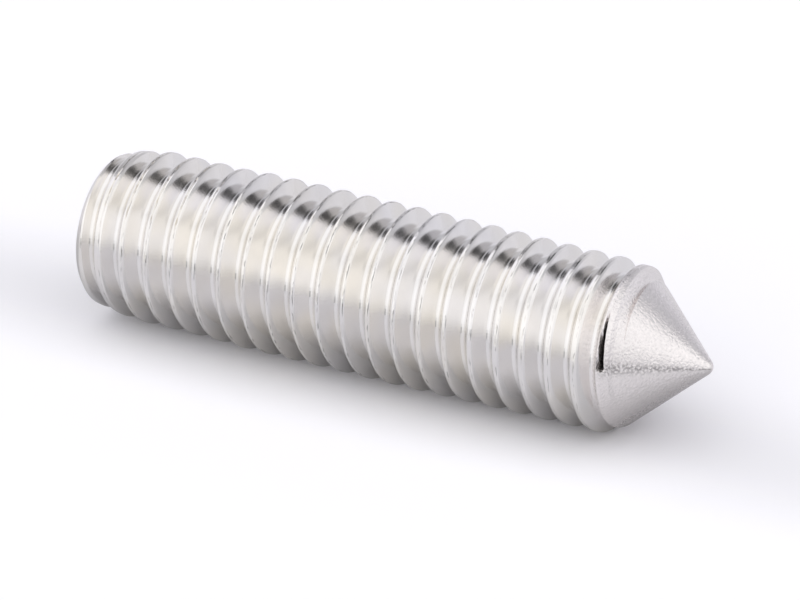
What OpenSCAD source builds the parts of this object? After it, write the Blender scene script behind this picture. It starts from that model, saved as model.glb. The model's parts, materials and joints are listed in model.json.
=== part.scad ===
/* [Thread] */
// Nominal diameter of the thread
thread_d = 8; // [7.5:0.1:12]
// Distance from one crest to the next along the screw
pitch = 1.25; // [0.75:0.05:1.5]
// How much smaller than nominal the crests are made
crest_allowance = 0.13; // [0:0.01:0.2]
// How far the crests start below full height at the socket end
start_drop = 0.3; // [0:0.05:0.4]
// Turns over which the crests rise to full height
start_turns = 2; // [1:0.5:4]

/* [Body] */
// Length from the socket end to the tip of the cone
length = 30; // [14:0.5:50]
// Chamfer at the socket end, measured along the radius
end_chamfer = 0.65; // [0.45:0.05:0.75]
// Chamfer at the socket end, its angle to the screw's axis
end_chamfer_angle = 45; // [30:1:60]

/* [Cone point] */
// Angle of the whole cone
cone_angle = 83; // [70:1:120]
// Radius that rounds off the tip
tip_radius = 0.4; // [0.1:0.05:1]

/* [Hex socket] */
// Width of the hexagon across its flats
socket_flats = 4; // [2.5:0.1:4.5]
// Depth of the hexagon's flat walls
socket_depth = 5; // [2:0.1:7]
// How far the countersink at the mouth goes beyond the hexagon's corners
mouth_margin = 0.08; // [0.02:0.01:0.15]
// Angle of the countersink at the mouth
mouth_angle = 120; // [90:1:140]
// Angle of the drill point at the bottom of the socket
drill_angle = 120; // [90:1:140]

/* [Hidden] */
// Facets of the thread in one turn
thread_steps = 40;
// Facets of the turned shapes, where only a mesh is drawn
turned_steps = 108;
// Half of the angle between the flanks of a metric thread
flank_angle = 30;
// Height of the sharp triangle that a metric thread is made from
triangle_h = pitch / (2 * tan(flank_angle));
// The thread is 17/24 of that height deep, and its crest is an eighth of the pitch wide
thread_h = triangle_h * 17 / 24;
crest_w = pitch / 8;
// Radius of the rounded root, which touches both flanks
root_r = triangle_h / 6;
// Radii of the crests and of the bottom of the groove
crest_r = (thread_d - crest_allowance) / 2;
minor_r = crest_r - thread_h;
// The flat ring that the screw stands on
face_r = crest_r - end_chamfer;
// The turned blank is a little wider than the crests, which the thread itself makes
blank_r = crest_r + pitch / 10;
// The cone, down to the circle where the rounded tip takes over
half_cone = cone_angle / 2;
tip_centre_z = length - tip_radius;
tip_circle_r = tip_radius * cos(half_cone);
tip_circle_z = tip_centre_z + tip_radius * sin(half_cone);
// The thread starts below the face and ends where the cone is thinner than its root
thread_start_z = -1.3 * pitch;
thread_end_z = cone_height_at(minor_r) + pitch * 0.7;
thread_rings = ceil((thread_end_z - thread_start_z) / pitch * thread_steps);
// The hexagon's corner and the countersink's circle
socket_corner_r = socket_flats / 2 / cos(30);
mouth_r = socket_corner_r + mouth_margin;
mouth_h = (mouth_r - socket_flats / 2) / tan(mouth_angle / 2);
// How far cuts reach past the face, so that they open cleanly
cut_over = 1;

// Height at which the cone has a given radius
function cone_height_at(r) = tip_circle_z - (r - tip_circle_r) / tan(half_cone);

// How far the crest at a given height stays below full height, where the thread starts
function crest_drop(z) = start_drop * max(0, 1 - max(0, z) / (start_turns * pitch));

// One pitch of the thread's outline as [radius, height]: both edges of the crest, then the rounded root.
// A crest that is lower is wider too, because the flanks keep their place.
function thread_outline(drop) =
    let (half_w = crest_w / 2 + drop * tan(flank_angle))
    [
        [crest_r - drop, -half_w],
        [crest_r - drop, half_w],
        for (a = [-90 + flank_angle : 90 - flank_angle : 90 - flank_angle])
            [minor_r + root_r * (1 - cos(a)), pitch / 2 + root_r * sin(a)]
    ];

// A right-handed threaded rod: the outline wound up a helix, closed at both ends by a fan of faces
module threaded_rod() {
    n = len(thread_outline(0));
    turn = thread_steps * n;
    last = thread_rings * n;
    points = [
        for (i = [0 : thread_rings])
            let (
                a = 360 * i / thread_steps,
                z = thread_start_z + pitch * i / thread_steps
            )
            for (p = thread_outline(crest_drop(z))) [p[0] * cos(a), p[0] * sin(a), z + p[1]],
        [0, 0, thread_start_z],
        [0, 0, length + pitch]
    ];
    bottom = len(points) - 2;
    top = bottom + 1;
    // The point above point j of ring i is the next one of the outline, or the first one a turn later
    sides = [
        for (i = [0 : thread_rings - 1], j = [0 : n - 1])
            if (j < n - 1 || i + thread_steps < thread_rings)
                let (
                    a = i * n + j,
                    b = a + n,
                    up = j < n - 1 ? 1 : turn - n + 1
                )
                each [[a, b + up, b], [a, a + up, b + up]]
    ];
    bottom_edge = [
        for (i = [0 : thread_steps]) i * n,
        for (j = [n - 1 : -1 : 1]) j
    ];
    top_edge = [
        for (i = [thread_rings - thread_steps : thread_rings]) i * n + n - 1,
        for (j = [n - 2 : -1 : 0]) last + j
    ];
    fans = [
        for (k = [0 : len(bottom_edge) - 1])
            [bottom, bottom_edge[k], bottom_edge[(k + 1) % len(bottom_edge)]],
        for (k = [0 : len(top_edge) - 1])
            [top, top_edge[(k + 1) % len(top_edge)], top_edge[k]]
    ];
    polyhedron(points = points, faces = concat(sides, fans), convexity = 40);
}

// The turned blank: flat face, chamfer, body and cone
module blank() {
    rotate_extrude($fn = turned_steps)
        polygon([
            [0, 0],
            [face_r, 0],
            [blank_r, (blank_r - face_r) / tan(end_chamfer_angle)],
            [blank_r, cone_height_at(blank_r)],
            [tip_circle_r, tip_circle_z],
            [0, tip_circle_z]
        ]);
    translate([0, 0, tip_centre_z])
        sphere(r = tip_radius, $fn = turned_steps / 3);
}

// The hexagon for the key, its countersunk mouth and the drill point below it
module hex_socket() {
    translate([0, 0, -cut_over])
        linear_extrude(height = socket_depth + cut_over)
            circle(r = socket_corner_r, $fn = 6);
    translate([0, 0, -cut_over])
        cylinder(
            h = cut_over + mouth_h,
            r1 = mouth_r + cut_over * tan(mouth_angle / 2),
            r2 = socket_flats / 2,
            $fn = turned_steps
        );
    translate([0, 0, socket_depth])
        cylinder(
            h = socket_flats / 2 / tan(drill_angle / 2),
            r1 = socket_flats / 2,
            r2 = 0,
            $fn = turned_steps
        );
}

module set_screw() {
    color("silver")
        difference() {
            intersection() {
                blank();
                threaded_rod();
            }
            hex_socket();
        }
}

set_screw();
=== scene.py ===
import json
import math

import bpy
from mathutils import Matrix, Vector


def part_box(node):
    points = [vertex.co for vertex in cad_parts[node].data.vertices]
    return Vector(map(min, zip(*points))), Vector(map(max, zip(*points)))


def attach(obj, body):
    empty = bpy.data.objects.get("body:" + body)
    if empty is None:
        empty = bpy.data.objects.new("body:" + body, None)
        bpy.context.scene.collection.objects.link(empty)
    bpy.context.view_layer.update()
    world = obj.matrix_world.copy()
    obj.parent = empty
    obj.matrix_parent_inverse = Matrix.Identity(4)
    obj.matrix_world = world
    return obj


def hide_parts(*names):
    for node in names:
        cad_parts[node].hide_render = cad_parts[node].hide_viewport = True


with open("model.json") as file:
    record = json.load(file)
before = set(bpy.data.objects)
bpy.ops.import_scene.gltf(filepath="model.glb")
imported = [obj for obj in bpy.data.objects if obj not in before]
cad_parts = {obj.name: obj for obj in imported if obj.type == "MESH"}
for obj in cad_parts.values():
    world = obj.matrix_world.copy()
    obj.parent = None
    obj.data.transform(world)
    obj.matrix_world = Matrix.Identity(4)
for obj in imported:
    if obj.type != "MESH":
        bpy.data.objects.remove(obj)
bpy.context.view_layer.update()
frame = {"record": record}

bl_info = {
    "name": "Cone point set screw",
    "version": (1, 0, 0),
    "blender": (4, 5, 0),
    "location": "3D View > Sidebar > Set screw",
    "description": "Builds a threaded set screw with a cone point and a hexagon socket, and its stage",
    "category": "Add Mesh",
}

MM = 0.001
NODE = "set_screw"
NODE_LOW, NODE_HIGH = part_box(NODE)
CREST_RADIUS = (NODE_HIGH.x - NODE_LOW.x) / 2
SCREW_LENGTH = NODE_HIGH.z - NODE_LOW.z
STEEL = next(m for m in frame["record"]["materials"] if m["slot"] == "steel")

# Half of the angle between the flanks of a metric thread
FLANK_ANGLE = math.radians(30)
# The photograph's frame, in pixels
PHOTO_WIDTH = 800
PHOTO_HEIGHT = 600


class ScrewSizes(bpy.types.PropertyGroup):
    """Sizes of the screw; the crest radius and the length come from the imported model"""

    pitch: bpy.props.FloatProperty(
        name="Pitch", description="Distance from one crest to the next",
        default=1.25 * MM, unit="LENGTH", precision=5)
    thread_phase: bpy.props.FloatProperty(
        name="Thread phase", description="Height of a crest above the face at angle zero, in pitches",
        default=0.7)
    crest_round: bpy.props.FloatProperty(
        name="Crest rounding", description="How far the edges of the crests are rounded off",
        default=0.075 * MM, unit="LENGTH", precision=6)
    root_radius: bpy.props.FloatProperty(
        name="Root radius", description="Radius at the bottom of the thread's groove",
        default=0.19 * MM, unit="LENGTH", precision=5)
    flank_bulge: bpy.props.FloatProperty(
        name="Flank bulge", description="How far the rolled flanks swell between crest and root",
        default=0.015 * MM, unit="LENGTH", precision=6)
    start_drop: bpy.props.FloatProperty(
        name="Start drop", description="How far the first crest stays below full height",
        default=0.38 * MM, unit="LENGTH", precision=5)
    start_turns: bpy.props.FloatProperty(
        name="Start turns", description="Turns over which the crests rise to full height", default=1.7)
    body_drop: bpy.props.FloatProperty(
        name="Body drop", description="How far the next few crests stay below full height",
        default=0.07 * MM, unit="LENGTH", precision=5)
    last_drop: bpy.props.FloatProperty(
        name="Last drop", description="How far the last crest stays below full height",
        default=0.23 * MM, unit="LENGTH", precision=5)
    seam_depth: bpy.props.FloatProperty(
        name="Seam depth", description="Depth of the rolled seam along the crests",
        default=0.05 * MM, unit="LENGTH", precision=5)
    lap_depth: bpy.props.FloatProperty(
        name="Lap depth", description="Depth of the slit in the last crest",
        default=0.45 * MM, unit="LENGTH", precision=5)
    end_ridge: bpy.props.FloatProperty(
        name="End ridge", description="How far the last, part-formed crest stands out of the cone",
        default=0.11 * MM, unit="LENGTH", precision=5)
    end_dent: bpy.props.FloatProperty(
        name="End dent", description="Depth of the last groove where it runs out on the cone",
        default=0.21 * MM, unit="LENGTH", precision=5)
    chamfer: bpy.props.FloatProperty(
        name="End chamfer", description="Chamfer at the socket end, measured along the radius",
        default=0.7 * MM, unit="LENGTH", precision=5)
    chamfer_angle: bpy.props.FloatProperty(
        name="Chamfer angle", description="Angle of that chamfer to the screw's axis",
        default=math.radians(45), subtype="ANGLE")
    cone_angle: bpy.props.FloatProperty(
        name="Cone angle", description="Angle of the whole cone",
        default=math.radians(83), subtype="ANGLE")
    tip_radius: bpy.props.FloatProperty(
        name="Tip radius", description="Radius that rounds off the tip",
        default=0.4 * MM, unit="LENGTH", precision=5)
    cone_round: bpy.props.FloatProperty(
        name="Cone rounding", description="How softly the cone and the chamfer run into the thread",
        default=0.05 * MM, unit="LENGTH", precision=6)
    socket_flats: bpy.props.FloatProperty(
        name="Socket flats", description="Width of the hexagon across its flats",
        default=4.0 * MM, unit="LENGTH", precision=5)
    socket_depth: bpy.props.FloatProperty(
        name="Socket depth", description="Depth of the hexagon's flat walls",
        default=5.0 * MM, unit="LENGTH", precision=5)
    mouth_margin: bpy.props.FloatProperty(
        name="Mouth margin", description="How far the countersink goes beyond the hexagon's corners",
        default=0.08 * MM, unit="LENGTH", precision=6)
    mouth_angle: bpy.props.FloatProperty(
        name="Mouth angle", description="Angle of the countersink and of the drill point",
        default=math.radians(120), subtype="ANGLE")
    columns: bpy.props.IntProperty(
        name="Columns", description="Faces in one turn, a multiple of six", default=144)
    rows: bpy.props.IntProperty(
        name="Rows", description="Rows of faces in one pitch", default=26)


class SteelFinish(bpy.types.PropertyGroup):
    """Colour and surface of the steel"""

    colour: bpy.props.FloatVectorProperty(
        name="Colour", description="Colour of the bare steel", subtype="COLOR", size=4,
        default=(*STEEL["base_color"], 1.0))
    roughness: bpy.props.FloatProperty(
        name="Roughness", description="Roughness of the rolled thread", default=0.16)
    cone_roughness: bpy.props.FloatProperty(
        name="Cone roughness", description="Roughness of the turned cone", default=0.26)
    tint: bpy.props.FloatVectorProperty(
        name="Tint", description="Colour of the steel where it is smeared", subtype="COLOR", size=4,
        default=(0.865, 0.84, 0.80, 1.0))
    smear_size: bpy.props.FloatProperty(
        name="Smear size", description="Width of a smear on the steel", default=1.6 * MM,
        unit="LENGTH", precision=5)
    smear_shade: bpy.props.FloatProperty(
        name="Smear shade", description="How much darker and lighter the smears are", default=0.12)
    streak_turns: bpy.props.FloatProperty(
        name="Streak turns", description="How many streaks there are in one turn", default=40.0)
    streak_width: bpy.props.FloatProperty(
        name="Streak width", description="Width of a streak round the thread", default=0.05 * MM,
        unit="LENGTH", precision=6)
    streak_relief: bpy.props.FloatProperty(
        name="Streak relief", description="Height of the streaks", default=0.0012 * MM,
        unit="LENGTH", precision=7)
    grain_size: bpy.props.FloatProperty(
        name="Grain size", description="Width of the cone's grain", default=0.11 * MM,
        unit="LENGTH", precision=6)
    grain_relief: bpy.props.FloatProperty(
        name="Grain relief", description="Height of the cone's grain", default=0.035 * MM,
        unit="LENGTH", precision=7)
    grain_shade: bpy.props.FloatProperty(
        name="Grain shade", description="How much darker and lighter the cone's grain is", default=0.25)
    cone_colour: bpy.props.FloatVectorProperty(
        name="Cone colour", description="Colour of the turned cone", subtype="COLOR", size=4,
        default=(0.875, 0.84, 0.828, 1.0))
    # A painted dark reflection: a mottled dark line down one side of the cone, painted into its colour
    dark_reflection_side: bpy.props.FloatProperty(
        name="Dark reflection side", description="Angle from +X of the dull, rubbed line down the cone",
        default=math.radians(145.0), subtype="ANGLE")
    dark_reflection_width: bpy.props.FloatProperty(
        name="Dark reflection width", description="Half of the angle that the rubbed line covers",
        default=math.radians(9.0), subtype="ANGLE")
    dark_reflection_shade: bpy.props.FloatProperty(
        name="Dark reflection shade", description="How much darker the rubbed line is", default=0.5)
    # Painted shade: the seam's dashes and the inside of the last crest's slit are darkened in the colour, as
    # shade in these creases
    seam_place: bpy.props.FloatProperty(
        name="Seam place", description="Where the seam runs on the crest, in pitches from its middle",
        default=0.05)
    seam_width: bpy.props.FloatProperty(
        name="Seam width", description="Half width of the seam, in pitches", default=0.02)
    seam_shade: bpy.props.FloatProperty(
        name="Seam shade", description="How dark the marks in the seam are", default=0.75)


class StudioSettings(bpy.types.PropertyGroup):
    """Camera, floor and light"""

    facing: bpy.props.FloatProperty(
        name="Facing side", description="Angle around the screw, from +X, of the side that faces the camera",
        default=math.radians(126.0), subtype="ANGLE")
    turn: bpy.props.FloatProperty(
        name="Turn", description="How far the camera stands round towards the cone",
        default=math.radians(25.25), subtype="ANGLE")
    roll: bpy.props.FloatProperty(
        name="Roll", description="How far the screw's axis drops to the right in the picture",
        default=math.radians(13.39), subtype="ANGLE")
    distance: bpy.props.FloatProperty(
        name="Distance", description="Distance from the camera to the plane of the cone's apex",
        default=258.6 * MM, unit="LENGTH", precision=4)
    lens_pixels: bpy.props.FloatProperty(
        name="Lens", description="Focal length, in the photograph's pixels", default=6015.3)
    apex_height: bpy.props.FloatProperty(
        name="Apex height", description="Height along the axis of the point that the camera is set by",
        default=30.25 * MM, unit="LENGTH", precision=5)
    apex_x: bpy.props.FloatProperty(
        name="Apex column", description="Where that point lies in the photograph, in pixels", default=717.9)
    apex_y: bpy.props.FloatProperty(
        name="Apex row", description="Where that point lies in the photograph, in pixels", default=369.7)
    floor_side: bpy.props.FloatProperty(
        name="Floor side", description="Angle from the facing side to the side turned away from the floor",
        default=math.radians(-60.6), subtype="ANGLE")


class Field:
    """A number inside a node tree, so that a shape's rule can be written as a formula"""

    def __init__(self, tree, socket):
        self.tree = tree
        self.socket = socket

    def math(self, operation, *others):
        node = self.tree.nodes.new("ShaderNodeMath")
        node.operation = operation
        for place, value in zip(node.inputs, (self, *others)):
            if isinstance(value, Field):
                self.tree.links.new(value.socket, place)
            else:
                place.default_value = value
        return Field(self.tree, node.outputs[0])

    def __add__(self, other):
        return self.math("ADD", other)

    def __radd__(self, other):
        return self.math("ADD", other)

    def __sub__(self, other):
        return self.math("SUBTRACT", other)

    def __rsub__(self, other):
        return (self * -1).math("ADD", other)

    def __mul__(self, other):
        return self.math("MULTIPLY", other)

    def __rmul__(self, other):
        return self.math("MULTIPLY", other)

    def __truediv__(self, other):
        return self.math("DIVIDE", other)

    def switch(self, low, high):
        """low where this is 0, high where it is 1"""
        return low + self * (high - low)

    def clamp(self, low, high):
        return self.math("MAXIMUM", low).math("MINIMUM", high)


def new_tree(name, inputs):
    """A Geometry Nodes tree with those named inputs; returns it and a Field for each"""
    tree = bpy.data.node_groups.new(name, "GeometryNodeTree")
    tree.interface.new_socket("Geometry", in_out="INPUT", socket_type="NodeSocketGeometry")
    tree.interface.new_socket("Geometry", in_out="OUTPUT", socket_type="NodeSocketGeometry")
    for label, kind in inputs:
        tree.interface.new_socket(label, in_out="INPUT", socket_type=kind)
    entry = tree.nodes.new("NodeGroupInput")
    fields = {label: Field(tree, entry.outputs[label]) for label, _ in inputs}
    return tree, fields


def connect(tree, source, node, place):
    tree.links.new(source.socket if isinstance(source, Field) else source, node.inputs[place])


NUMBER = "NodeSocketFloat"
WHOLE = "NodeSocketInt"
SCREW_INPUTS = (
    ("Crest radius", NUMBER),
    ("Pitch", NUMBER),
    ("Thread phase", NUMBER),
    ("Crest rounding", NUMBER),
    ("Root radius", NUMBER),
    ("Flank bulge", NUMBER),
    ("Start drop", NUMBER),
    ("Start turns", NUMBER),
    ("Body drop", NUMBER),
    ("Last drop", NUMBER),
    ("Seam depth", NUMBER),
    ("Lap depth", NUMBER),
    ("End ridge", NUMBER),
    ("End dent", NUMBER),
    ("Length", NUMBER),
    ("End chamfer", NUMBER),
    ("Chamfer angle", NUMBER),
    ("Cone angle", NUMBER),
    ("Tip radius", NUMBER),
    ("Cone rounding", NUMBER),
    ("Socket flats", NUMBER),
    ("Socket depth", NUMBER),
    ("Mouth margin", NUMBER),
    ("Mouth angle", NUMBER),
    ("Columns", WHOLE),
    ("Rows", WHOLE),
    ("Material", "NodeSocketMaterial"),
)
# Rows of points inside the socket, before the first row of the outside
SOCKET_ROWS = 5
# Half of the crest's flat top, in pitches
CREST_HALF = 0.045
# Heights over which the next few crests reach full height, in pitches
BODY_RISE = (4.8, 6.0)
# The share of the last drop that comes early, then the turns over which each share comes
EARLY_DROP = 0.45
EARLY_DROP_TURNS = (11.0, 19.0)
LATE_DROP_TURNS = (19.55, 20.05)
# The rolled seam: marks in one turn, and the noise levels at which a mark begins and is whole
SEAM_MARKS = 55.0
SEAM_MARK_LEVELS = (0.50, 0.62)
# Turns over which its open part shuts, and the middle and half width of the side where it is open
SEAM_SHUTTING = (3.2, 5.5)
SEAM_OPEN_SIDE = (0.2, 0.24)
# Shares of its depth: in a mark, where it is open, and what a mark adds there
SEAM_MARK_DEPTH = 0.6
SEAM_OPEN_DEPTH = 1.3
SEAM_OPEN_MARK_DEPTH = 0.7
# Where it lies on the crest, its half width, and how much wider it is where it is open, in pitches
SEAM_ACROSS = 0.012
SEAM_HALF_WIDTH = 0.014
SEAM_OPENING = 0.03
# The slit in the last crest: its ends in turns along the thread, then its place across the crest
# and its half width at both ends, in pitches, and how steep its walls are
LAP_START = 20.305
LAP_END = 20.405
LAP_FROM = -0.04
LAP_TO = -0.07
LAP_NARROW = 0.025
LAP_WIDE = 0.12
LAP_STEEPNESS = 1.6
# Where it deepens, measured from its start, and where it closes, measured from its end, in turns
LAP_OPENING = (-0.02, 0.03)
LAP_CLOSING = (-0.002, 0.003)
# The part-formed crest on the cone's edge: the turns over which it rises and sinks,
# and where its sides begin and end, in pitches from its middle
RIDGE_RISING = (19.80, 20.02)
RIDGE_SINKING = (20.25, 20.65)
RIDGE_SIDES = (0.13, 0.24)
# The groove beside it: the turns over which it deepens and runs out, then its place and half width
DENT_RISING = (19.98, 20.10)
DENT_SINKING = (20.21, 20.38)
DENT_ACROSS = (0.45, 0.26)
# How much closer the rows lie at the crests and at both crest and root
CREST_PACKING = 0.2
EDGE_PACKING = 0.5
# Pitches of rows beyond the screw's own length, for the ends where rows are drawn together
SPARE_PITCHES = 3
# Where the rows begin to close up towards the tip, measured back from it
TIP_ROWS_START = 1.5 * MM
# Points this close are joined
JOIN_DISTANCE = 1e-7
# Edges sharper than this are drawn sharp
SHARP_ANGLE = math.radians(35)


def fade(value, start, end):
    """0 before start, 1 after end, with a soft change between; start may lie after end"""
    share = ((value - start) / (end - start)).clamp(0.0, 1.0)
    return share * share * (3.0 - 2.0 * share)


def bump(value, centre, half_width):
    """1 at the centre, falling softly to 0 at both sides"""
    share = (1.0 - (value - centre).math("ABSOLUTE") / half_width).clamp(0.0, 1.0)
    return share * share * (3.0 - 2.0 * share)


def thread_place(n, z, turn):
    """Turns along the thread's crest, and the distance from that crest in pitches"""
    height = z / n["Pitch"] - turn - n["Thread phase"]
    crest = (height + 0.5).math("FLOOR")
    return crest + turn, height - crest


def thread_radius(n, z, along, across):
    """Radius of the thread, with its crests, flanks and rounded roots"""
    pitch = n["Pitch"]
    root_r = n["Root radius"]
    minor_r = n["Crest radius"] - pitch * ((0.5 - CREST_HALF) / math.tan(FLANK_ANGLE)) + root_r
    from_crest = across.math("ABSOLUTE") * pitch
    from_root = pitch * 0.5 - from_crest
    reach = (1.0 - z / (n["Start turns"] * pitch)).clamp(0.0, 1.0)
    body = 1.0 - fade(z, BODY_RISE[0] * pitch, BODY_RISE[1] * pitch)
    drop = n["Start drop"] * reach + n["Body drop"] * body
    late = (1.0 - EARLY_DROP) * fade(along, *LATE_DROP_TURNS)
    drop = drop + n["Last drop"] * (EARLY_DROP * fade(along, *EARLY_DROP_TURNS) + late)
    crest_r = n["Crest radius"] - drop
    flank = n["Crest radius"] - (from_crest - pitch * CREST_HALF) / math.tan(FLANK_ANGLE)
    flank_width = pitch * (0.5 - CREST_HALF) - root_r * math.cos(FLANK_ANGLE)
    share = ((from_crest - pitch * CREST_HALF) / flank_width).clamp(0.0, 1.0)
    flank = flank + share * (1.0 - share) * 4.0 * n["Flank bulge"]
    inside = from_root.math("MINIMUM", root_r * math.cos(FLANK_ANGLE))
    root = minor_r + root_r - (root_r * root_r - inside * inside).math("SQRT")
    side = flank.math("MAXIMUM", root)
    return side.math("SMOOTH_MIN", crest_r, n["Crest rounding"])


def seam_depth(tree, n, along, across):
    """The crest's rolled seam: open on the first turns, then only broken marks along the crest"""
    noise = tree.nodes.new("ShaderNodeTexNoise")
    noise.noise_dimensions = "1D"
    connect(tree, along, noise, "W")
    noise.inputs["Scale"].default_value = SEAM_MARKS
    noise.inputs["Detail"].default_value = 3.0
    marks = fade(Field(tree, noise.outputs[0]), *SEAM_MARK_LEVELS)
    side = bump(along.math("FLOORED_MODULO", 1.0), *SEAM_OPEN_SIDE)
    opened = (1.0 - fade(along, *SEAM_SHUTTING)) * side
    open_depth = SEAM_OPEN_DEPTH + marks * SEAM_OPEN_MARK_DEPTH
    depth = n["Seam depth"] * (marks * SEAM_MARK_DEPTH + opened * open_depth)
    half_width = SEAM_HALF_WIDTH + SEAM_OPENING * opened
    return depth * bump(across, SEAM_ACROSS, half_width)


def end_lap(along, across):
    """1 in the slit where the last crest wasn't rolled shut, beside the cone"""
    share = ((along - LAP_START) / (LAP_END - LAP_START)).clamp(0.0, 1.0)
    centre = LAP_FROM + share * (LAP_TO - LAP_FROM)
    half_width = LAP_NARROW + share * (LAP_WIDE - LAP_NARROW)
    here = fade(along, LAP_START + LAP_OPENING[0], LAP_START + LAP_OPENING[1])
    here = here * (1.0 - fade(along, LAP_END + LAP_CLOSING[0], LAP_END + LAP_CLOSING[1]))
    return here * (bump(across, centre, half_width) * LAP_STEEPNESS).math("MINIMUM", 1.0)


def turned_radius(n, z, along, across):
    """Radius of the turned blank: the chamfer at the socket end, the cone and its rounded tip"""
    chamfer = n["Crest radius"] - n["End chamfer"] + z * n["Chamfer angle"].math("TANGENT")
    half = n["Cone angle"] * 0.5
    centre_z = n["Length"] - n["Tip radius"]
    touch_z = centre_z + n["Tip radius"] * half.math("SINE")
    cone = n["Tip radius"] * half.math("COSINE") + (touch_z - z) * half.math("TANGENT")
    above = (z - centre_z).math("MAXIMUM", 0.0)
    ball = (n["Tip radius"] * n["Tip radius"] - above * above).math("MAXIMUM", 0.0).math("SQRT")
    ridge = fade(along, *RIDGE_RISING) * (1.0 - fade(along, *RIDGE_SINKING))
    ridge = ridge * (1.0 - fade(across.math("ABSOLUTE"), *RIDGE_SIDES))
    dent = fade(along, *DENT_RISING) * (1.0 - fade(along, *DENT_SINKING))
    dent = dent * bump(across.math("FLOORED_MODULO", 1.0), *DENT_ACROSS)
    cone = cone + ridge * n["End ridge"] - dent * n["End dent"]
    tip = z.math("GREATER_THAN", touch_z).switch(cone, ball)
    return chamfer.math("MINIMUM", tip)


def build_screw_tree():
    """One sheet of points, a column for each step round the screw, bent into the whole screw.
    The rows run from the bottom of the socket, out over the face and up the thread to the tip."""
    tree, n = new_tree("Set screw", SCREW_INPUTS)
    columns = n["Columns"]
    pitch = n["Pitch"]
    outside_rows = ((n["Length"] / pitch).math("CEIL") + SPARE_PITCHES) * n["Rows"] + 1
    row_count = outside_rows + SOCKET_ROWS
    grid = tree.nodes.new("GeometryNodeMeshGrid")
    connect(tree, columns + 1, grid, "Vertices X")
    connect(tree, row_count, grid, "Vertices Y")

    index = Field(tree, tree.nodes.new("GeometryNodeInputIndex").outputs[0])
    column = ((index + 0.5) / row_count).math("FLOOR")
    row = index - column * row_count
    turn = column / columns
    angle = turn * math.tau

    # The outside: rows follow the helix, so that crests and roots each keep a row of their own
    step = (row - SOCKET_ROWS) / n["Rows"]
    whole = step.math("FLOOR")
    part = step - whole
    packed = part - (part * math.tau).math("SINE") * (CREST_PACKING / math.tau)
    packed = packed - (part * (2 * math.tau)).math("SINE") * (EDGE_PACKING / (2 * math.tau))
    raw_z = (whole + packed + turn + n["Thread phase"] - 2.0) * pitch
    closing_z = n["Length"] - TIP_ROWS_START
    closing = ((raw_z - closing_z) / (2 * TIP_ROWS_START)).clamp(0.0, 1.0)
    left = 1.0 - closing
    closed_z = closing_z + TIP_ROWS_START * (1.0 - left * left)
    z = closing.math("GREATER_THAN", 0.0).switch(raw_z.math("MAXIMUM", 0.0), closed_z)
    along, across = thread_place(n, z, turn)
    outside_r = thread_radius(n, z, along, across)
    outside_r = outside_r - seam_depth(tree, n, along, across)
    outside_r = outside_r.math("SMOOTH_MIN", turned_radius(n, z, along, across), n["Cone rounding"])
    outside_r = outside_r - end_lap(along, across) * n["Lap depth"]
    outside_r = outside_r * closing.math("LESS_THAN", 1.0)

    # The socket: drill point, its rim, the hexagon's floor and top, and the countersink's rim
    half_flats = n["Socket flats"] * 0.5
    sixth = math.tau / 6
    from_flat = (angle.math("FLOORED_MODULO", sixth) - sixth / 2)
    hexagon_r = half_flats / from_flat.math("COSINE")
    mouth_r = half_flats / math.cos(sixth / 2) + n["Mouth margin"]
    slope = (n["Mouth angle"] * 0.5).math("TANGENT")
    rings = (
        (half_flats * 0.0, n["Socket depth"] + half_flats / slope),
        (half_flats, n["Socket depth"]),
        (hexagon_r, n["Socket depth"]),
        (hexagon_r, (mouth_r - hexagon_r) / slope),
        (mouth_r, half_flats * 0.0),
    )
    radius = outside_r
    height = z
    for number, (ring_r, ring_z) in enumerate(rings):
        here = row.math("COMPARE", float(number), 0.5)
        radius = here.switch(radius, ring_r)
        height = here.switch(height, ring_z)

    place = tree.nodes.new("ShaderNodeCombineXYZ")
    connect(tree, radius * angle.math("COSINE"), place, "X")
    connect(tree, radius * angle.math("SINE"), place, "Y")
    connect(tree, height, place, "Z")
    move = tree.nodes.new("GeometryNodeSetPosition")
    connect(tree, grid.outputs["Mesh"], move, "Geometry")
    connect(tree, place.outputs[0], move, "Position")
    join = tree.nodes.new("GeometryNodeMergeByDistance")
    connect(tree, move.outputs[0], join, "Geometry")
    join.inputs["Distance"].default_value = JOIN_DISTANCE

    edge = tree.nodes.new("GeometryNodeInputMeshEdgeAngle")
    gentle = Field(tree, edge.outputs["Unsigned Angle"]).math("LESS_THAN", SHARP_ANGLE)
    smooth = tree.nodes.new("GeometryNodeSetShadeSmooth")
    smooth.domain = "EDGE"
    connect(tree, join.outputs[0], smooth, "Geometry")
    connect(tree, gentle, smooth, "Shade Smooth")

    realize = tree.nodes.new("GeometryNodeRealizeInstances")
    connect(tree, smooth.outputs[0], realize, "Geometry")
    paint = tree.nodes.new("GeometryNodeSetMaterial")
    connect(tree, realize.outputs[0], paint, "Geometry")
    connect(tree, n["Material"], paint, "Material")
    leave = tree.nodes.new("NodeGroupOutput")
    connect(tree, paint.outputs[0], leave, "Geometry")
    return tree


def mesh_from_tree(name, tree, values):
    """Runs a tree with those values and leaves its result as a plain mesh object"""
    mesh = bpy.data.meshes.new(name)
    piece = bpy.data.objects.new(name, mesh)
    bpy.context.scene.collection.objects.link(piece)
    modifier = piece.modifiers.new("Shape", "NODES")
    modifier.node_group = tree
    keys = {s.name: s.identifier for s in tree.interface.items_tree if s.in_out == "INPUT"}
    for label, value in values.items():
        modifier[keys[label]] = value
    graph = bpy.context.evaluated_depsgraph_get()
    result = bpy.data.meshes.new_from_object(piece.evaluated_get(graph))
    piece.modifiers.remove(modifier)
    piece.data = result
    result.name = name
    bpy.data.meshes.remove(mesh)
    return piece


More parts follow.
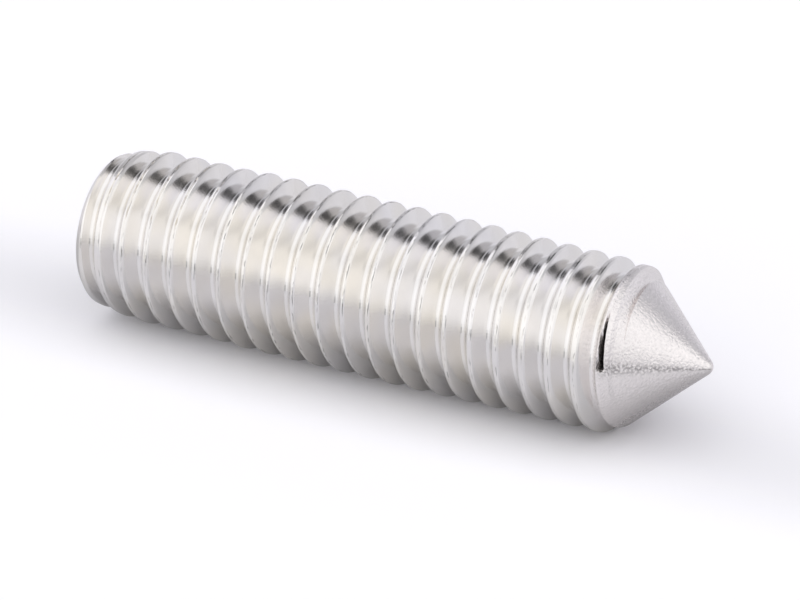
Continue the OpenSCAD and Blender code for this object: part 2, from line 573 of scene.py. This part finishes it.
def noise_field(tree, vector, scale, detail):
    """Noise between 0 and 1 at that place"""
    noise = tree.nodes.new("ShaderNodeTexNoise")
    connect(tree, vector, noise, "Vector")
    noise.inputs["Scale"].default_value = scale
    noise.inputs["Detail"].default_value = detail
    return Field(tree, noise.outputs[0])


def mix_colours(tree, share, first, second):
    """The first colour where share is 0, the second where it is 1"""
    mix = tree.nodes.new("ShaderNodeMix")
    mix.data_type = "RGBA"
    connect(tree, share, mix, 0)
    for place, colour in ((6, first), (7, second)):
        if isinstance(colour, tuple):
            mix.inputs[place].default_value = colour
        else:
            tree.links.new(colour, mix.inputs[place])
    return mix.outputs[2]


# Noise levels between which a tint, a dash of painted shade in the seam and a fleck of the painted dark
# reflection go from none to full
TINT_LEVELS = (0.35, 0.65)
DASH_LEVELS = (0.52, 0.60)
DARK_REFLECTION_LEVELS = (0.38, 0.60)
# Heights over which the seam's dashes begin, and over which the cone's finish and the painted dark
# reflection begin above the cone's foot
SEAM_BEGINS = (0.2 * MM, 0.4 * MM)
CONE_FINISH_WIDTH = 0.3 * MM
DARK_REFLECTION_BEGINS = (0.5 * MM, 1.0 * MM)
# How much finer than the streaks the dashes are, and how much coarser than the smears the tints are
DASH_FINENESS = 1.2
TINT_COARSENESS = 0.6
# How much the smears and the streaks change the roughness
SMEAR_ROUGHNESS = 0.12
STREAK_ROUGHNESS = 0.06


def steel_material(finish, sizes):
    """Bright steel: smeared and finely streaked on the rolled thread, grained on the cone; painted shade in
    the crests' seam and the last crest's slit, and a painted dark reflection down the cone
    """
    material = bpy.data.materials.new("steel")
    material.use_nodes = True
    tree = material.node_tree
    shader = tree.nodes["Principled BSDF"]
    shader.inputs["Metallic"].default_value = 1.0
    place = tree.nodes.new("ShaderNodeTexCoord").outputs["Object"]
    split = tree.nodes.new("ShaderNodeSeparateXYZ")
    tree.links.new(place, split.inputs[0])
    x, y, z = (Field(tree, split.outputs[name]) for name in "XYZ")
    turn = (y.math("ARCTAN2", x) / math.tau).math("FLOORED_MODULO", 1.0)
    radius = (x * x + y * y).math("SQRT")
    along, across = thread_place({"Pitch": sizes.pitch, "Thread phase": sizes.thread_phase}, z, turn)

    # Streaks run round the screw; the cone's grain has no direction
    unrolled = tree.nodes.new("ShaderNodeCombineXYZ")
    connect(tree, turn * finish.streak_turns, unrolled, "X")
    connect(tree, z / finish.streak_width, unrolled, "Y")
    connect(tree, radius / finish.streak_width, unrolled, "Z")
    streaks = noise_field(tree, unrolled.outputs[0], 1.0, 2.0)
    smears = noise_field(tree, place, 1.0 / finish.smear_size, 2.0)
    tints = noise_field(tree, place, TINT_COARSENESS / finish.smear_size, 1.0)
    grain = noise_field(tree, place, 1.0 / finish.grain_size, 3.0)
    cone_start = SCREW_LENGTH - CREST_RADIUS / math.tan(sizes.cone_angle / 2)
    on_cone = fade(z, cone_start, cone_start + CONE_FINISH_WIDTH)

    # Painted shade: dark dashes in the crests' rolled seam, and the slit in the last crest darkened inside
    dashes = noise_field(tree, unrolled.outputs[0], DASH_FINENESS, 2.0)
    seam = bump(across, finish.seam_place, finish.seam_width) * fade(dashes, *DASH_LEVELS)
    seam = seam * (1.0 - on_cone) * fade(z, *SEAM_BEGINS)
    colour = mix_colours(tree, fade(tints, *TINT_LEVELS), tuple(finish.colour), tuple(finish.tint))
    colour = mix_colours(tree, on_cone, colour, tuple(finish.cone_colour))
    dark = seam.math("MAXIMUM", end_lap(along, across)) * finish.seam_shade
    shade = (1.0 - dark) * (1.0 - (smears - 0.5) * finish.smear_shade)
    shade = shade * (1.0 - (on_cone * (grain - 0.5)) * finish.grain_shade)
    # Painted dark reflection down one side of the cone, broken up by the grain
    painted_dark_reflection = bump(turn, finish.dark_reflection_side / math.tau, finish.dark_reflection_width / math.tau)
    painted_dark_reflection = painted_dark_reflection * fade(z, cone_start + DARK_REFLECTION_BEGINS[0], cone_start + DARK_REFLECTION_BEGINS[1])
    shade = shade * (1.0 - painted_dark_reflection * fade(grain, *DARK_REFLECTION_LEVELS) * finish.dark_reflection_shade)
    shaded = tree.nodes.new("ShaderNodeVectorMath")
    shaded.operation = "SCALE"
    tree.links.new(colour, shaded.inputs[0])
    connect(tree, shade, shaded, "Scale")
    tree.links.new(shaded.outputs[0], shader.inputs["Base Color"])

    rough = on_cone.switch(finish.roughness, finish.cone_roughness)
    rough = rough + (smears - 0.5) * SMEAR_ROUGHNESS + (streaks - 0.5) * STREAK_ROUGHNESS
    connect(tree, rough.clamp(0.05, 1.0), shader, "Roughness")

    relief = on_cone.switch(streaks * finish.streak_relief, grain * finish.grain_relief)
    bumps = tree.nodes.new("ShaderNodeBump")
    bumps.inputs["Distance"].default_value = 1.0
    connect(tree, relief, bumps, "Height")
    tree.links.new(bumps.outputs[0], shader.inputs["Normal"])
    return material


class SCREW_OT_build(bpy.types.Operator):
    """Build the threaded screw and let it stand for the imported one"""

    bl_idname = "set_screw.build"
    bl_label = "Build the set screw"

    def execute(self, context):
        sizes = context.scene.screw_sizes
        steel = steel_material(context.scene.steel_finish, sizes)
        screw = mesh_from_tree("threaded_screw", build_screw_tree(), {
            "Crest radius": CREST_RADIUS,
            "Pitch": sizes.pitch,
            "Thread phase": sizes.thread_phase,
            "Crest rounding": sizes.crest_round,
            "Root radius": sizes.root_radius,
            "Flank bulge": sizes.flank_bulge,
            "Start drop": sizes.start_drop,
            "Start turns": sizes.start_turns,
            "Body drop": sizes.body_drop,
            "Last drop": sizes.last_drop,
            "Seam depth": sizes.seam_depth,
            "Lap depth": sizes.lap_depth,
            "End ridge": sizes.end_ridge,
            "End dent": sizes.end_dent,
            "Length": SCREW_LENGTH,
            "End chamfer": sizes.chamfer,
            "Chamfer angle": sizes.chamfer_angle,
            "Cone angle": sizes.cone_angle,
            "Tip radius": sizes.tip_radius,
            "Cone rounding": sizes.cone_round,
            "Socket flats": sizes.socket_flats,
            "Socket depth": sizes.socket_depth,
            "Mouth margin": sizes.mouth_margin,
            "Mouth angle": sizes.mouth_angle,
            "Columns": sizes.columns,
            "Rows": sizes.rows,
            "Material": steel,
        })
        if not screw.data.polygons:
            raise RuntimeError("the screw's tree made no faces")
        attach(screw, "root")
        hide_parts(NODE)
        return {"FINISHED"}


def side_direction(angle):
    """Direction square to the screw's axis, at that angle from +X"""
    return Vector((math.cos(angle), math.sin(angle), 0.0))


# Width of the camera's sensor in millimetres
SENSOR_WIDTH = 36.0


def set_camera(studio):
    """The camera of the photograph, found from the screw's outline and its crests"""
    front = side_direction(studio.facing)
    down = side_direction(studio.facing + math.pi / 2)
    axis = Vector((0.0, 0.0, 1.0))
    away = -math.cos(studio.turn) * front - math.sin(studio.turn) * axis
    level = -math.sin(studio.turn) * front + math.cos(studio.turn) * axis
    picture_x = math.cos(studio.roll) * level - math.sin(studio.roll) * down
    picture_y = math.sin(studio.roll) * level + math.cos(studio.roll) * down
    scale = studio.distance / studio.lens_pixels
    offset_x = (studio.apex_x - PHOTO_WIDTH / 2) * scale
    offset_y = (studio.apex_y - PHOTO_HEIGHT / 2) * scale
    apex = axis * studio.apex_height
    place = apex - offset_x * picture_x - offset_y * picture_y - studio.distance * away
    data = bpy.data.cameras.new("photo_camera")
    data.sensor_width = SENSOR_WIDTH
    data.lens = studio.lens_pixels / PHOTO_WIDTH * data.sensor_width
    data.clip_start = 0.01
    data.clip_end = 10.0
    camera = bpy.data.objects.new("photo_camera", data)
    turn = Matrix((picture_x, -picture_y, -away)).transposed()
    camera.matrix_world = Matrix.Translation(place) @ turn.to_4x4()
    bpy.context.scene.collection.objects.link(camera)
    bpy.context.scene.camera = camera
    return camera


# How far the floor reaches to the back and to both sides
FLOOR_HALF_SIZE = 0.4
# How far it reaches in front of the screw, out of the picture
FLOOR_FRONT = 0.045
# How pale the floor is to the camera, and to the steel
FLOOR_TO_CAMERA = 1.09
FLOOR_TO_STEEL = 0.82
FLOOR_TINT = (1.0, 0.996, 1.022)
# A painted shadow close to the screw: how much darker it makes the floor to the steel, the share of that
# which the camera sees, and how far from the screw it ends
FLOOR_NEAR_SHADE = 0.35
FLOOR_NEAR_SEEN = 0.35
FLOOR_NEAR = 0.007


def floor_material(across):
    """Pale matt floor with a painted shadow close to the screw; from below it lets the camera look through
    """
    material = bpy.data.materials.new("floor")
    material.use_nodes = True
    tree = material.node_tree
    nodes = tree.nodes
    nodes.clear()
    out = nodes.new("ShaderNodeOutputMaterial")
    matt = nodes.new("ShaderNodeBsdfDiffuse")
    clear = nodes.new("ShaderNodeBsdfTransparent")
    sides = nodes.new("ShaderNodeNewGeometry")
    rays = nodes.new("ShaderNodeLightPath")
    by_camera = Field(tree, rays.outputs["Is Camera Ray"])
    forward = tree.nodes.new("ShaderNodeVectorMath")
    forward.operation = "DOT_PRODUCT"
    tree.links.new(nodes.new("ShaderNodeTexCoord").outputs["Object"], forward.inputs[0])
    forward.inputs[1].default_value = across
    # Painted shadow: the floor is darker along the line under the screw
    near = 1.0 - fade(Field(tree, forward.outputs["Value"]).math("ABSOLUTE"), 0.0, FLOOR_NEAR)
    seen_shade = FLOOR_NEAR_SHADE * FLOOR_NEAR_SEEN
    shade = by_camera.switch(1.0 - near * FLOOR_NEAR_SHADE, 1.0 - near * seen_shade)
    paleness = by_camera.switch(FLOOR_TO_STEEL, FLOOR_TO_CAMERA) * shade
    colour = nodes.new("ShaderNodeVectorMath")
    colour.operation = "SCALE"
    colour.inputs[0].default_value = FLOOR_TINT
    connect(tree, paleness, colour, "Scale")
    tree.links.new(colour.outputs[0], matt.inputs["Color"])
    seen_from_below = Field(tree, sides.outputs["Backfacing"]) * by_camera
    mix = nodes.new("ShaderNodeMixShader")
    connect(tree, seen_from_below, mix, 0)
    tree.links.new(matt.outputs[0], mix.inputs[1])
    tree.links.new(clear.outputs[0], mix.inputs[2])
    tree.links.new(mix.outputs[0], out.inputs["Surface"])
    return material


def add_floor(studio):
    """The floor that the screw lies on in the photograph, along its side"""
    up = side_direction(studio.facing + studio.floor_side)
    across = side_direction(studio.facing + studio.floor_side + math.pi / 2)
    axis = Vector((0.0, 0.0, 1.0))
    centre = axis * (SCREW_LENGTH / 2) - up * CREST_RADIUS
    corners = [
        centre + a * across + b * FLOOR_HALF_SIZE * axis
        for a, b in ((-FLOOR_HALF_SIZE, -1), (FLOOR_FRONT, -1), (FLOOR_FRONT, 1), (-FLOOR_HALF_SIZE, 1))
    ]
    mesh = bpy.data.meshes.new("floor")
    mesh.from_pydata(corners, [], [(0, 1, 2, 3)])
    mesh.materials.append(floor_material(across))
    floor = bpy.data.objects.new("floor", mesh)
    bpy.context.scene.collection.objects.link(floor)
    return up, across


# What the steel sees around it: each panel's light level, then where it begins and ends in degrees,
# first round the floor from the cone's side towards the back, then up from the floor,
# and over how many degrees its edges fade
ROOM_LEVEL = 1.08
PANELS = (
    ("soft light in front", 1.17, -165, -75, 12, 46, 18),
    ("soft light overhead", 1.12, -190, 190, 63, 100, 8),
    ("haze at the horizon", 0.85, -190, 190, -100, 3, 14),
    ("back wall", 0.8, 55, 190, -100, 14, 10),
    ("grey screen", 0.57, 28, 150, 10, 50, 14),
    ("dark strip", 0.05, 84, 127, 38, 60, 8),
    ("far end of the dark strip", 0.42, 30, 84, 36, 54, 8),
    ("end of the dark strip", 0.4, 123, 158, 30, 48, 8),
    ("gap between the lights", 0.86, 168, 242, 49, 57, 8),
    ("gap, from the other side", 0.86, -192, -118, 49, 57, 8),
    ("table's edge", 0.35, -66, -20, -9, 4, 7),
)

# The part of the room behind the screw, given as a panel is, and the light's colour there and elsewhere
BEHIND = (35, 190, -100, 65, 20)
COLOUR_BEHIND = (1.0, 0.995, 1.07, 1.0)
COLOUR_ELSEWHERE = (1.0, 0.995, 1.01, 1.0)


def panel_mask(azimuth, elevation, west, east, low, high, soft):
    """1 inside the panel, 0 outside, with soft edges"""
    mask = None
    for angle, start, end in ((azimuth, west, east), (elevation, low, high)):
        for edge, sign in ((start, 1), (end, -1)):
            half = sign * math.radians(soft) / 2
            side = fade(angle, math.radians(edge) - half, math.radians(edge) + half)
            mask = side if mask is None else mask * side
    return mask


def set_world(up, across):
    """A white room to the camera; the steel sees soft lights and a dark strip in it"""
    world = bpy.data.worlds.new("studio")
    bpy.context.scene.world = world
    world.use_nodes = True
    tree = world.node_tree
    look = tree.nodes.new("ShaderNodeTexCoord").outputs["Generated"]

    def along(direction):
        dot = tree.nodes.new("ShaderNodeVectorMath")
        dot.operation = "DOT_PRODUCT"
        tree.links.new(look, dot.inputs[0])
        dot.inputs[1].default_value = direction
        return Field(tree, dot.outputs["Value"])

    azimuth = along(-across).math("ARCTAN2", along(Vector((0.0, 0.0, 1.0))))
    elevation = along(up).math("ARCSINE")
    level = elevation * 0.0 + ROOM_LEVEL
    for _, strength, *edges in PANELS:
        level = panel_mask(azimuth, elevation, *edges).switch(level, strength)
    light = tree.nodes["Background"]
    behind = panel_mask(azimuth, elevation, *BEHIND)
    colour = mix_colours(tree, behind, COLOUR_ELSEWHERE, COLOUR_BEHIND)
    tree.links.new(colour, light.inputs["Color"])
    connect(tree, level, light, "Strength")
    white = tree.nodes.new("ShaderNodeBackground")
    white.inputs["Color"].default_value = (1.0, 1.0, 1.0, 1.0)
    rays = tree.nodes.new("ShaderNodeLightPath")
    mix = tree.nodes.new("ShaderNodeMixShader")
    tree.links.new(rays.outputs["Is Camera Ray"], mix.inputs[0])
    tree.links.new(light.outputs[0], mix.inputs[1])
    tree.links.new(white.outputs[0], mix.inputs[2])
    tree.links.new(mix.outputs[0], tree.nodes["World Output"].inputs["Surface"])


class SCREW_OT_stage(bpy.types.Operator):
    """Set up the floor, the studio light and the camera"""

    bl_idname = "set_screw.stage"
    bl_label = "Set up the stage"

    def execute(self, context):
        studio = context.scene.studio_settings
        set_camera(studio)
        set_world(*add_floor(studio))
        context.scene.view_settings.view_transform = "Standard"
        return {"FINISHED"}


class SCREW_PT_panel(bpy.types.Panel):
    """The buttons that build the screw and its stage"""

    bl_label = "Set screw"
    bl_space_type = "VIEW_3D"
    bl_region_type = "UI"
    bl_category = "Set screw"

    def draw(self, context):
        self.layout.operator(SCREW_OT_build.bl_idname)
        self.layout.operator(SCREW_OT_stage.bl_idname)


CLASSES = (ScrewSizes, SteelFinish, StudioSettings, SCREW_OT_build, SCREW_OT_stage, SCREW_PT_panel)


def register():
    for cls in CLASSES:
        bpy.utils.register_class(cls)
    bpy.types.Scene.screw_sizes = bpy.props.PointerProperty(type=ScrewSizes)
    bpy.types.Scene.steel_finish = bpy.props.PointerProperty(type=SteelFinish)
    bpy.types.Scene.studio_settings = bpy.props.PointerProperty(type=StudioSettings)


def unregister():
    del bpy.types.Scene.studio_settings
    del bpy.types.Scene.steel_finish
    del bpy.types.Scene.screw_sizes
    for cls in reversed(CLASSES):
        bpy.utils.unregister_class(cls)


def main():
    register()
    bpy.ops.set_screw.stage()
    bpy.ops.set_screw.build()


if __name__ == "__main__":
    main()
